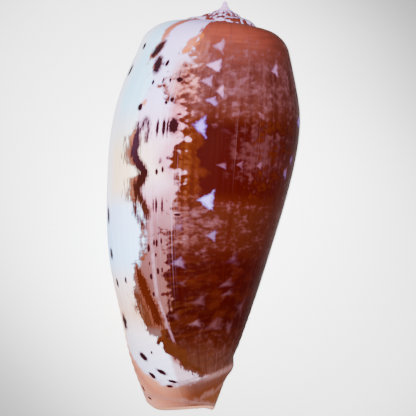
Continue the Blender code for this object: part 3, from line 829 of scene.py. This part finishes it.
    # lilac mottles and flecks in the brown, the shell's own and a painted sheen in bands, and fine threads
    # mottles and flecks gather round 13 and 36 mm deep, where the painted sheen lies, and fade on the far
    # side
    busy = depth.bump(13.0, 9.0) * 0.17 + depth.bump(36.0, 6.5) * (turn.step(-0.36, -0.28) * 0.15 + 0.01)
    busy = busy + depth.bump(57.0, 7.0) * turn.step(-0.32, -0.4) * 0.14 - depth.bump(26.0, 8.0) * 0.09
    busy = busy - depth.bump(46.0, 8.0) * 0.07 - aged * turn.step(-0.4, -0.36) * 0.12
    farSide = turn.step(-0.36, -0.46)
    mottlesAndSheen = (cloud + rough * 0.12 + busy - farSide * 0.05).step(0.47, 0.86)
    colour = colour.coat(depth.shades("mottleAndSheen"), mottlesAndSheen * brownShare * depth.step(4.0, 10.0) * 0.8)
    # a random level for each cell of a wobbly brickwork
    wide, high, seed = skinPaint["bricks"]
    wobble = grain("wobble") - 0.5
    place = paint.joined(around / wide + wobble * 0.2 + seed, spiral / high + wobble * 0.4, 0.0)
    settings = {"voronoi_dimensions": "2D", "distance": "CHEBYCHEV", "feature": "SMOOTH_F1"}
    sockets = {"Vector": place, "Scale": 1.0, "Randomness": 0.75, "Smoothness": 0.3}
    bricks = paint.node("ShaderNodeTexVoronoi", settings, sockets, 1).parts()[0]
    lights = (bricks + busy + cloud * 1.6 - farSide * 0.25).step(1.5, 2.15) * brownShare
    colour = colour.coat("upperFlecksAndSheen", lights * depth.bump(13.5, 10.0).step(0.0, 0.4) * 0.2)
    lowLights = lights * depth.bump(36.0, 7.0).step(0.0, 0.4) * turn.step(-0.38, -0.3)
    colour = colour.coat("lowerFlecksAndSheen", lowLights * 0.3)
    # a painted sheen, pale and patchy, over the brown right of the middle
    paintedSheen = turn.bump(-0.41, 0.1) * depth.bump(23.7, 6.0) * 0.35 + cloud * 1.5 + streaks * 0.5
    paintedSheen = paintedSheen.step(1.02, 1.5) * depth.bump(23.7, 7.0).step(0.0, 0.3) * turn.step(-0.34, -0.37)
    colour = colour.coat("paintedSheen", paintedSheen * 0.55)
    threads = fineStreaks.step(0.58, 0.7) * turn.bump(-0.385, 0.06) * depth.bump(22.0, 12.0)
    colour = colour.coat("threads", threads * 0.3)

    # placed tents, whose strength is kept as whole steps in their first number
    levelGap = marks["levelGap"]
    strength = (tentAcross / levelGap + 0.5).whole()
    tentAcross = tentAcross - strength * levelGap
    tentSlopes = (1.0 - tentAcross) * 0.62 - tentAlong.size()
    tentShape = (tentAcross + 0.95).least(tentSlopes) + rough * 0.7 + (patches - 0.5) * 1.4
    tentShape = (tentShape / (depth.step(38.0, 44.0) + 1.0)).step(-0.25, 0.55)
    colour = colour.coat(depth.shades("tent"), tentShape * strength * strength * 0.105)

    # the pale scar beside the zigzag, with fine lines either side
    bendDepth, bendLength, slant = skinPaint["scarBend"]
    lean = (depth - bendDepth).most(0.0).least(bendLength) * slant
    scar = (turn - skinPaint["scarTurn"] + lean).size() * girth
    scar = scar.step(skinPaint["scarWidth"], 0.05) * depth.step(31.0, 36.0) * depth.step(58.0, 50.0)
    colour = colour.coat("scar", scar * (cloud + 0.1).step(0.3, 0.7) * 0.5)
    lined = turn.bump(-0.235, 0.045) * depth.bump(25.0, 26.0) * 0.35
    colour = colour.coat("lilacLines", fineStreaks.step(0.56, 0.68) * lined)
    colour = colour.coat("plumLines", fineStreaks.step(0.44, 0.36) * lined)

    # the peach front end, with a painted highlight along its ridges
    place = pastFront + coarse * 1.2
    front = place.shades("frontOld").coat(place.shades("frontNew"), (turn + coarse * 0.03).step(-0.29, -0.1))
    ridgeHighlights = (pastFront + rough * 0.3 + coarse * 0.8).bump(0.6, 0.9) * turn.step(-0.26, -0.36) * 0.5
    ridgeHighlights = ridgeHighlights.most((pastFront + coarse * 1.6 + rough * 0.3).bump(3.4, 0.8) * 0.3)
    ridgeHighlights = ridgeHighlights.most((depth + turn * 3.0 + rough * 0.25 + coarse * 1.2).bump(62.9, 0.6) * 0.5)
    front = front.coat("ridgeHighlight", ridgeHighlights * (cloud + 0.2).step(0.4, 0.7))
    colour = colour.coat(front, (pastFront + rows * 1.6 + rough * 0.8).step(-0.6, 0.8))

    # upright dashes beside the zigzag, warm strokes, the dark zigzag and small marks
    upright = grain("upright", depth) - 0.5
    fringeDepth = depth.bump(24.6, 3.2).most(depth.bump(30.8, 2.6)).most(depth.bump(49.6, 3.6))
    fringe = (dark + upright * 8.0).step(2.7, 1.4) * fromZigzag.step(0.0, 0.004) * fringeDepth.step(0.0, 0.3)
    colour = colour.coat("fringe", fringe * 0.9)
    frayed = depth.step(40.0, 46.0) * 0.9  # the strokes' edges are rougher towards the front
    warmShape = warm + rough * (frayed + 0.8) + (streaks - 0.5) * 0.9 + coarse * 0.5 + lobes * 1.4
    colour = colour.coat(depth.shades("warmStroke"), warmShape.step(0.3, -0.2) * 0.95)
    zigzagShape = dark + rough * (frayed + 0.7) + upright * depth.step(18.0, 21.0) * 1.5 - 0.12
    colour = colour.coat("zigzagRim", zigzagShape.step(0.6, 0.05) * 0.8)
    colour = colour.coat(depth.shades("zigzag"), zigzagShape.step(0.2, -0.3))
    spotShape = (spotAcross * spotAcross + spotAlong * spotAlong).root() + rough * 0.7
    colour = colour.coat("spotRim", spotShape.step(1.6, 1.05) * 0.65)
    colour = colour.coat("spot", spotShape.step(1.2, 0.8))

    # the spire's dashes and the tip
    onSpire = depth.step(4.8, 4.0) * turn.step(-0.93, -1.0)
    colour = colour.coat("spireDashes", onSpire * grain("dashes", depth).step(0.48, 0.54))
    colour = colour.coat("tip", depth.step(1.9, 1.3))

    # the lip's edge, the inside, and painted shade that darkens all but the newest growth
    colour = colour.coat("edge", side.step(0.3, 0.55))
    colour = colour.coat("inside", side.step(0.62, 0.9))
    colour = colour.coat("olderSideShade", fromZigzag.step(0.004, -0.004), "MULTIPLY")

    height = streaks * 0.4 + fineStreaks * 0.3 + rows * 0.25
    bumpSockets = {"Strength": 0.2, "Distance": skinPaint["bumpDepth"], "Height": height}
    bump = paint.node("ShaderNodeBump", {}, bumpSockets)
    surface = tree.nodes["Principled BSDF"]
    surface.inputs["IOR"].default_value = skinPaint["refraction"]
    tree.links.new(colour.socket, surface.inputs["Base Color"])
    tree.links.new(bump.socket, surface.inputs["Normal"])
    roughness = rough * skinPaint["roughnessGrain"] + skinPaint["roughness"]
    tree.links.new(roughness.socket, surface.inputs["Roughness"])
    return material


skin.data.materials.append(paintSkin())
print("shell painted")

stage = dict(
    floorSize=3.0,
    floorColour=(0.95, 0.95, 0.95, 1.0),
    floorRoughness=0.9,
    floorGloss=0.1,
    imageSize=416,
    tipPixel=(225, 1),  # where the apex stands in the image
    frameWidth=0.0661,
    lean=3.23,
    cameraDistance=0.75,
    sensorWidth=36,
    nearest=0.01,
    # a hard pair beside the lens that lights an oval of the floor
    spotPlace=(-0.008, 0.004, 0.8),  # right, up and out from the frame's middle
    spotsApart=0.011,
    spotPower=114.0,
    spotAngle=6.4,
    spotSize=0.012,
    # soft lamps low at either side that shape the shell: (name, place, power, size)
    softLamps=(("soft", (-0.44, 0.18, 0.13), 3.4, 0.22), ("side", (0.46, -0.05, 0.12), 1.7, 0.2)),
    roomLight=0.05,
)


def addFloor():
    bpy.ops.mesh.primitive_plane_add(size=stage["floorSize"])
    floor = bpy.context.object
    floor.name = "floor"
    paper = bpy.data.materials.new("paper")
    paper.use_nodes = True
    surface = paper.node_tree.nodes["Principled BSDF"]
    surface.inputs["Base Color"].default_value = stage["floorColour"]
    surface.inputs["Roughness"].default_value = stage["floorRoughness"]
    surface.inputs["Specular IOR Level"].default_value = stage["floorGloss"]
    floor.data.materials.append(paper)


# the camera looks square onto the shell's back, so it leans with the shell
def addCamera(tip):
    right, up, out = (turnOver @ Vector(axis) for axis in ((1, 0, 0), (0, 1, 0), (0, 0, 1)))
    lean = math.radians(stage["lean"])
    frameUp = up * math.cos(lean) - right * math.sin(lean)  # the apex leans right in the frame
    frameRight = right * math.cos(lean) + up * math.sin(lean)
    pixel = stage["frameWidth"] / stage["imageSize"]
    offRight, offUp = (stage["imageSize"] / 2 - place for place in stage["tipPixel"])
    aim = tip + frameRight * offRight * pixel - frameUp * offUp * pixel
    camera = bpy.data.cameras.new("camera")
    camera.sensor_width = stage["sensorWidth"]
    camera.lens = stage["sensorWidth"] * stage["cameraDistance"] / stage["frameWidth"]
    camera.clip_start = stage["nearest"]
    holder = bpy.data.objects.new("camera", camera)
    bpy.context.scene.collection.objects.link(holder)
    basis = Matrix((frameRight, frameUp, out)).transposed()
    holder.matrix_world = Matrix.Translation(aim + out * stage["cameraDistance"]) @ basis.to_4x4()
    bpy.context.scene.camera = holder
    return aim, basis


def addLamp(name, kind, place, towards, power, **settings):
    lamp = bpy.data.lights.new(name, kind)
    lamp.energy = power
    for setting, value in settings.items():
        setattr(lamp, setting, value)
    holder = bpy.data.objects.new(name, lamp)
    holder.location = place
    holder.rotation_euler = (towards - place).to_track_quat("-Z", "Y").to_euler()
    bpy.context.scene.collection.objects.link(holder)


def addLights(aim, basis):
    for name, share in (("spotUpper", -1), ("spotLower", 1)):
        apart = stage["spotsApart"] * share
        towards = aim + basis @ Vector((apart, -apart, 0))
        addLamp(name, "SPOT", aim + basis @ Vector(stage["spotPlace"]), towards, stage["spotPower"],
                shadow_soft_size=stage["spotSize"], spot_size=math.radians(stage["spotAngle"]),
                spot_blend=1.0)
    for name, place, power, size in stage["softLamps"]:
        addLamp(name, "AREA", aim + basis @ Vector(place), aim, power, shape="DISK", size=size)
    room = bpy.data.worlds.new("room")
    room.use_nodes = True
    room.node_tree.nodes["Background"].inputs["Color"].default_value = (1, 1, 1, 1)
    room.node_tree.nodes["Background"].inputs["Strength"].default_value = stage["roomLight"]
    bpy.context.scene.world = room


addFloor()
points = [v.co for v in skin.data.vertices]
addLights(*addCamera(max(points, key=lambda point: point.y)))
print("floor, camera and lights placed")
